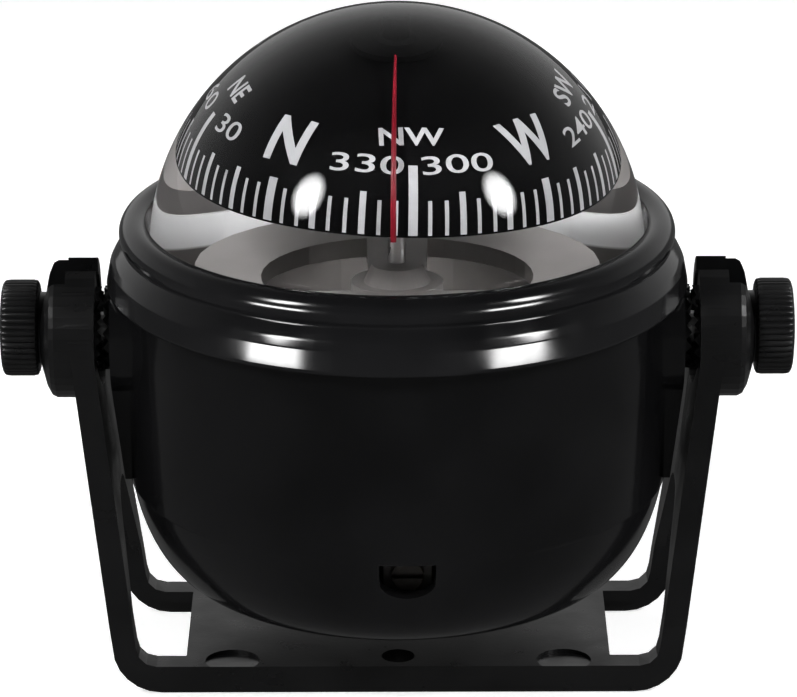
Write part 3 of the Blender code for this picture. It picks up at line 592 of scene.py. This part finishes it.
def card_frame(heading, height):
    """Centre and directions (right, up) of the print at a heading, at a height above the card's rim."""
    azimuth = radians(NORTH_WEST_AT - (heading - 315))
    outward = Vector((sin(azimuth), -cos(azimuth), 0))
    centre = outward * card_radius_at(height) + Vector((0, 0, height))
    step = 0.05 * MM
    above = outward * card_radius_at(height + step) + Vector((0, 0, height + step))
    return centre, Vector((cos(azimuth), sin(azimuth), 0)), (above - centre).normalized()


def flat_text(text, width, height, weight):
    """A word as flat faces in XY, centred, with a set width and height, and cut fine enough to bend."""
    curve = bpy.data.curves.new("word", "FONT")
    curve.body = text
    curve.offset = weight
    curve.resolution_u = 5
    guide = bpy.data.objects.new("word", curve)
    bpy.context.scene.collection.objects.link(guide)
    bpy.context.view_layer.update()
    mesh = bpy.data.meshes.new_from_object(guide.evaluated_get(bpy.context.evaluated_depsgraph_get()))
    bpy.data.objects.remove(guide)
    xs = [v.co.x for v in mesh.vertices]
    ys = [v.co.y for v in mesh.vertices]
    middle = Vector(((min(xs) + max(xs)) / 2, (min(ys) + max(ys)) / 2, 0))
    across, up = width / (max(xs) - min(xs)), height / (max(ys) - min(ys))
    mesh.transform(Matrix.Diagonal((across, up, 1, 1)) @ Matrix.Translation(-middle))
    work = bmesh.new()
    work.from_mesh(mesh)
    spacing = 0.5 * MM
    for normal, span in ((Vector((1, 0, 0)), width), (Vector((0, 1, 0)), height)):
        for i in range(int(span / spacing) + 1):
            place = normal * (i * spacing - span / 2)
            geometry = work.verts[:] + work.edges[:] + work.faces[:]
            bmesh.ops.bisect_plane(work, geom=geometry, plane_co=place, plane_no=normal)
    return work, mesh


def wrap(work, heading, height):
    """Moves flat geometry in XY onto the card."""
    centre, right, up = card_frame(heading, height)
    for vert in work.verts:
        vert.co = onto_card(centre + right * vert.co.x + up * vert.co.y)


def tick(work, heading, width, top, bottom=0.25 * MM):
    """A radial mark on the card, as a strip of faces between two heights above its rim."""
    azimuth = radians(NORTH_WEST_AT - (heading - 315))
    rows = []
    count = 8
    for i in range(count + 1):
        height = bottom + (top - bottom) * i / count
        radius = card_radius_at(height) + PRINT_LIFT
        half = width / 2 / radius
        rows.append([
            work.verts.new((radius * sin(azimuth + turn), -radius * cos(azimuth + turn), height))
            for turn in (-half, 0, half)
        ])
    for low, high in zip(rows, rows[1:]):
        for k in (0, 1):
            work.faces.new((low[k], low[k + 1], high[k + 1], high[k]))


def make_scale():
    work = bmesh.new()
    for heading in range(0, 360, 5):
        if heading % 90 == 0:
            tick(work, heading, *CARDINAL_TICK)
        elif heading % 45 == 0:
            tick(work, heading, *HALF_CARDINAL_TICK)
        elif heading % 15 == 0:
            tick(work, heading, *MAJOR_TICK)
        else:
            tick(work, heading, *MINOR_TICK)
    place_print(work, "card_ticks")
    words = {0: "N", 90: "E", 180: "S", 270: "W", 45: "NE", 135: "SE", 225: "SW", 315: "NW"}
    for heading, text in words.items():
        if text in CARDINAL_SIZES:
            size, place, weight = CARDINAL_SIZES[text], CARDINAL_AT, CARDINAL_WEIGHT
        else:
            size = (HALF_CARDINAL_WIDTHS[text[-1]], HALF_CARDINAL_HEIGHT)
            place, weight = HALF_CARDINAL_AT, HALF_CARDINAL_WEIGHT
        print_word(text, heading, size, place, weight, f"card_letter_{text}")
    for heading in (30, 60, 120, 150, 210, 240, 300, 330):
        text = str(heading)
        size = (NUMBER_WIDTHS[len(text)], NUMBER_HEIGHT)
        print_word(text, heading, size, NUMBER_AT, NUMBER_WEIGHT, f"card_number_{heading}")


def print_word(text, heading, size, place, weight, name):
    letters, mesh = flat_text(text, *size, weight)
    wrap(letters, heading, place)
    place_print(letters, name)
    bpy.data.meshes.remove(mesh)


def place_print(work, name):
    bmesh.ops.recalc_face_normals(work, faces=work.faces)
    mesh = bpy.data.meshes.new(name)
    work.to_mesh(mesh)
    work.free()
    centre = sum((v.co for v in mesh.vertices), Vector()) / len(mesh.vertices)
    if centre.length > MM and mesh.polygons[0].normal.dot(centre) < 0:
        mesh.flip_normals()
    tip_card(mesh)
    add_piece(name, mesh, PRINT, "card", "float_white")


def make_lubber():
    """Thin red strip in front of the card, a little wider towards its lower end."""
    rows = []
    work = bmesh.new()
    count, sides = 60, 10
    top_angle, sweep = 0.955, 0.945
    crown = CARD_CROWN + LUBBER_CROWN_RISE
    for i in range(count + 1):
        angle = pi / 2 * (top_angle - sweep * i / count)
        across = max(cos(angle), 0.0) ** (2 / CARD_SQUARENESS)
        up = max(sin(angle), 0.0) ** (2 / CARD_SQUARENESS)
        reach = (CARD_RIM_RADIUS + LUBBER_STAND_OFF) * across
        height = CARD_RIM + (crown + LUBBER_STAND_OFF - CARD_RIM) * up
        if reach < LUBBER_START_REACH or height < LUBBER_END:
            continue
        share = reach / CARD_RIM_RADIUS
        lean = LUBBER_SHIFT[0] + LUBBER_SHIFT[1] * share
        half = LUBBER_HALF_WIDTH[0] + LUBBER_HALF_WIDTH[1] * share
        ring = []
        for k in range(sides):
            turn = 2 * pi * k / sides
            outward = Vector((0, -across, up)).normalized()
            offset = Vector((half * cos(turn), 0, 0)) + outward * LUBBER_HALF_DEPTH * sin(turn)
            ring.append(work.verts.new(Vector((lean, -reach, height + PIVOT)) + offset))
        rows.append(ring)
    for first, second in zip(rows, rows[1:]):
        for k in range(sides):
            work.faces.new((first[k], first[(k + 1) % sides], second[(k + 1) % sides], second[k]))
    work.faces.new(rows[0])
    work.faces.new(rows[-1])
    bmesh.ops.recalc_face_normals(work, faces=work.faces)
    mesh = bpy.data.meshes.new("lubber_strip")
    work.to_mesh(mesh)
    work.free()
    smooth(mesh)
    add_piece("lubber_strip", mesh, RED, "housing", "red_lubber", "lubber_line")


# Knobs -----------------------------------------------------------------------------------------------------

def knob_mesh(side):
    """Hand knob: a knurled rim, a slightly domed face and a plain hub. The profile starts at the face."""
    profile = [(0.0, KNOB_OUTER_X, 0)]
    profile += [(2.0 * MM, KNOB_OUTER_X - 0.03 * MM, 0), (4.0 * MM, KNOB_OUTER_X - 0.14 * MM, 0)]
    profile += [(5.3 * MM, KNOB_OUTER_X - 0.28 * MM, 0), (5.75 * MM, KNOB_OUTER_X - 0.40 * MM, 0.2)]
    profile += [(6.05 * MM, KNOB_OUTER_X - 0.62 * MM, 0.7), (6.16 * MM, KNOB_OUTER_X - 0.9 * MM, 1.0)]
    for i in range(5):
        profile.append((KNOB_RADIUS, KNOB_OUTER_X - (1.4 + 0.72 * i) * MM, 1.0))
    profile += [(KNOB_RADIUS - 0.12 * MM, KNOB_INNER_X + 0.2 * MM, 0.9)]
    profile += [(KNOB_RADIUS - 0.5 * MM, KNOB_INNER_X, 0.3)]
    profile += [(HUB_RADIUS + 0.15 * MM, KNOB_INNER_X, 0), (HUB_RADIUS, KNOB_INNER_X - 0.15 * MM, 0)]
    profile += [(HUB_RADIUS, 43.7 * MM, 0), (HUB_RADIUS - 0.2 * MM, 43.5 * MM, 0), (2.3 * MM, 43.5 * MM, 0)]
    profile += [(2.3 * MM, 45.0 * MM, 0), (0.0, 45.0 * MM, 0)]
    per_ridge = 8
    steps = KNURL_COUNT * per_ridge
    work = bmesh.new()
    loops = []
    for radius, out, share in profile:
        if radius < 1e-7:
            loops.append([work.verts.new((side * out, 0, 0))])
            continue
        loop = []
        for k in range(steps):
            phase = (k % per_ridge) / per_ridge
            ridge = 1 - abs(2 * phase - 1)
            depth = KNURL_DEPTH * share * (1 - min(ridge * 1.5, 1.0))
            angle = 2 * pi * k / steps
            reach = radius - depth
            loop.append(work.verts.new((side * out, reach * cos(angle), reach * sin(angle))))
        loops.append(loop)
    for upper, lower in zip(loops, loops[1:]):
        for k in range(steps):
            corners = [upper[k % len(upper)], upper[(k + 1) % len(upper)], lower[(k + 1) % len(lower)],
                       lower[k % len(lower)]]
            work.faces.new(list(dict.fromkeys(corners)))
    bmesh.ops.recalc_face_normals(work, faces=work.faces)
    mesh = bpy.data.meshes.new("knob")
    work.to_mesh(mesh)
    work.free()
    smooth(mesh, 30)
    return raised(mesh)


def make_knobs():
    for side, word in ((-1, "left"), (1, "right")):
        add_piece(f"knurled_knob_{word}", knob_mesh(side), BLACK_SATIN, f"knob_{word}", "black_satin",
                  f"clamp_knob_{word}")


# Pieces that keep their CAD shape --------------------------------------------------------------------------

def dress_cad_nodes():
    looks = {
        "mounting_bracket": BLACK_SATIN, "dome_seal": RUBBER, "capsule_floor": DISH, "filler_plug": BRASS,
        "diaphragm": RUBBER, "diaphragm_ring": BRASS, "spider_frame": GREY, "pivot_pin": STEEL,
        "card_float": WHITE, "jewel_cup": JEWEL, "card_magnet_1": MAGNET, "card_magnet_2": MAGNET,
        "crown_hub": BLACK_CARD, "clamp_stud_left": STEEL, "clamp_stud_right": STEEL,
        "clamp_washer_left": STEEL, "clamp_washer_right": STEEL, "threaded_insert_left": BRASS,
        "threaded_insert_right": BRASS, "compensator_screw_front": BROWN, "compensator_screw_side": BROWN,
        "compensator_magnet_front": MAGNET, "compensator_magnet_side": MAGNET, "compensator_carrier": GREY,
        "carrier_screw_left": STEEL, "carrier_screw_right": STEEL,
    }
    for node, material in looks.items():
        dress(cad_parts[node], material)


def soften_bracket():
    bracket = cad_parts["mounting_bracket"]
    weld = bracket.modifiers.new("weld", "WELD")
    weld.merge_threshold = 0.002 * MM
    soften(bracket, 0.28 * MM, 2, 35)


# Studio ----------------------------------------------------------------------------------------------------

def glow_panel(name, direction, shape, strength, edge, round_shape=False):
    """A light panel that faces the compass, brightest in its middle and fading at its edge."""
    azimuth, elevation = radians(direction[0]), radians(direction[1])
    distance, width, height = shape
    aim = Vector((0, 0, PIVOT + 12 * MM))
    level = cos(elevation)
    place = aim + distance * Vector((sin(azimuth) * level, -cos(azimuth) * level, sin(elevation)))
    work = bmesh.new()
    if round_shape:
        bmesh.ops.create_circle(work, cap_ends=True, segments=48, radius=1)
    else:
        bmesh.ops.create_grid(work, x_segments=1, y_segments=1, size=1)
    mesh = bpy.data.meshes.new(name)
    work.to_mesh(mesh)
    work.free()
    panel = bpy.data.objects.new(name, mesh)
    bpy.context.scene.collection.objects.link(panel)
    panel.location = place
    panel.rotation_euler = (aim - place).to_track_quat("Z", "Y").to_euler()
    panel.scale = (width / 2, height / 2, 1)
    material = bpy.data.materials.new(name)
    material.use_nodes = True
    nodes, links = material.node_tree.nodes, material.node_tree.links
    nodes.clear()
    out = nodes.new("ShaderNodeOutputMaterial")
    emission = nodes.new("ShaderNodeEmission")
    coordinates = nodes.new("ShaderNodeTexCoord")
    emission.inputs["Color"].default_value = (1, 1, 1, 1)
    if round_shape:
        length = nodes.new("ShaderNodeVectorMath")
        length.operation = "LENGTH"
        links.new(coordinates.outputs["Object"], length.inputs[0])
        reach = length.outputs["Value"]
    else:
        split = nodes.new("ShaderNodeSeparateXYZ")
        links.new(coordinates.outputs["Object"], split.inputs[0])
        sizes = []
        for axis in ("X", "Y"):
            absolute = nodes.new("ShaderNodeMath")
            absolute.operation = "ABSOLUTE"
            links.new(split.outputs[axis], absolute.inputs[0])
            sizes.append(absolute.outputs[0])
        larger = nodes.new("ShaderNodeMath")
        larger.operation = "MAXIMUM"
        links.new(sizes[0], larger.inputs[0])
        links.new(sizes[1], larger.inputs[1])
        reach = larger.outputs[0]
    fade = nodes.new("ShaderNodeMapRange")
    fade.interpolation_type = "SMOOTHSTEP"
    fade.inputs["From Min"].default_value = 1 - edge
    fade.inputs["From Max"].default_value = 1.0
    fade.inputs["To Min"].default_value = strength
    fade.inputs["To Max"].default_value = 0.0
    links.new(reach, fade.inputs["Value"])
    links.new(fade.outputs["Result"], emission.inputs["Strength"])
    links.new(emission.outputs[0], out.inputs["Surface"])
    mesh.materials.append(material)
    panel.visible_camera = False
    return panel


def light_only(panel, receiver):
    """Limits a panel's light to one object, so that it leaves no patch on the others."""
    receivers = bpy.data.collections.new(panel.name + "_receivers")
    receivers.objects.link(receiver)
    receivers.collection_objects[0].light_linking.link_state = "INCLUDE"
    panel.light_linking.receiver_collection = receivers


def make_floor():
    """White paper. Reflections show it at a fixed low brightness, so that black surfaces stay black."""
    mesh = bpy.data.meshes.new("floor")
    corners = [(x * FLOOR_HALF, y * FLOOR_HALF, 0) for x, y in ((-1, -1), (1, -1), (1, 1), (-1, 1))]
    mesh.from_pydata(corners, [], [(0, 1, 2, 3)])
    floor = bpy.data.objects.new("floor", mesh)
    bpy.context.scene.collection.objects.link(floor)
    floor.location.z = -0.1 * MM
    material, nodes, links, shader = new_material("floor_paper")
    patch = noise(nodes, links, 3.0)
    links.new(ramp(nodes, links, patch.outputs["Fac"], (0.84, 0.84, 0.84), (0.87, 0.87, 0.87)),
              shader.inputs["Base Color"])
    shader.inputs["Roughness"].default_value = 0.9
    shader.inputs["Specular IOR Level"].default_value = 0.0
    shader.inputs["Emission Color"].default_value = (1, 1, 1, 1)
    shader.inputs["Emission Strength"].default_value = FLOOR_GLOW
    ray = nodes.new("ShaderNodeLightPath")
    dim = nodes.new("ShaderNodeEmission")
    dim.inputs["Color"].default_value = (1, 1, 1, 1)
    dim.inputs["Strength"].default_value = FLOOR_IN_REFLECTIONS
    choice = nodes.new("ShaderNodeMixShader")
    links.new(ray.outputs["Is Glossy Ray"], choice.inputs["Fac"])
    links.new(shader.outputs["BSDF"], choice.inputs[1])
    links.new(dim.outputs["Emission"], choice.inputs[2])
    links.new(choice.outputs["Shader"], nodes["Material Output"].inputs["Surface"])
    dress(floor, material)


def make_world():
    """Soft light, bright behind and low, darker above and in front. The camera sees it as white."""
    world = bpy.data.worlds.new("studio")
    bpy.context.scene.world = world
    world.use_nodes = True
    nodes, links = world.node_tree.nodes, world.node_tree.links
    background = nodes["Background"]
    place = nodes.new("ShaderNodeTexCoord")
    split = nodes.new("ShaderNodeSeparateXYZ")
    links.new(place.outputs["Generated"], split.inputs[0])
    behind = nodes.new("ShaderNodeMapRange")
    behind.inputs["From Min"].default_value = -0.2
    behind.inputs["From Max"].default_value = 0.7
    behind.inputs["To Min"].default_value = WORLD_IN_FRONT
    behind.inputs["To Max"].default_value = WORLD_BEHIND
    links.new(split.outputs["Y"], behind.inputs["Value"])
    above = nodes.new("ShaderNodeMapRange")
    above.inputs["From Min"].default_value = 0.35
    above.inputs["From Max"].default_value = 0.9
    above.inputs["To Min"].default_value = 1.0
    above.inputs["To Max"].default_value = WORLD_OVERHEAD
    links.new(split.outputs["Z"], above.inputs["Value"])
    product = nodes.new("ShaderNodeMath")
    product.operation = "MULTIPLY"
    links.new(behind.outputs["Result"], product.inputs[0])
    links.new(above.outputs["Result"], product.inputs[1])
    ray = nodes.new("ShaderNodeLightPath")
    seen = nodes.new("ShaderNodeMath")
    seen.operation = "MAXIMUM"
    links.new(ray.outputs["Is Camera Ray"], seen.inputs[0])
    links.new(product.outputs[0], seen.inputs[1])
    links.new(seen.outputs[0], background.inputs["Strength"])
    background.inputs["Color"].default_value = (1, 1, 1, 1)


def make_camera():
    camera = bpy.data.objects.new("camera", bpy.data.cameras.new("camera"))
    bpy.context.scene.collection.objects.link(camera)
    camera.data.lens = CAMERA_LENS
    camera.data.sensor_width = 36.0
    camera.data.clip_start = 0.01
    camera.data.clip_end = 50.0
    pivot = Vector((0, 0, PIVOT))
    camera.location = pivot + Vector(CAMERA_PLACE)
    aim = pivot + Vector(CAMERA_AIM)
    look = (aim - camera.location).to_track_quat("-Z", "Y").to_matrix()
    camera.rotation_euler = (look @ Matrix.Rotation(radians(CAMERA_ROLL), 3, "Z")).to_euler()
    bpy.context.scene.camera = camera


def make_studio():
    make_floor()
    make_world()
    for name, direction in SOFTBOXES.items():
        glow_panel(name, direction, SOFTBOX_SHAPE, SOFTBOX_STRENGTH, SOFTBOX_EDGE, True)
    for azimuth in FILL_AZIMUTHS:
        fill = glow_panel("fill", (azimuth, FILL_ELEVATION), FILL_SHAPE, FILL_STRENGTH, FILL_EDGE)
        fill.visible_glossy = False
        light_only(fill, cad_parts["capsule_floor"])
    cover = bpy.data.objects["top_cover_surface"]
    for name, direction in STRIPS.items():
        strip = glow_panel(name, direction, STRIP_SHAPE, STRIP_STRENGTH, STRIP_EDGE)
        light_only(strip, cover)
    bpy.context.scene.view_settings.view_transform = "Standard"


make_top_cover()
make_housing()
make_dome()
make_card()
make_scale()
make_lubber()
make_knobs()
dress_cad_nodes()
soften_bracket()
make_studio()
make_camera()
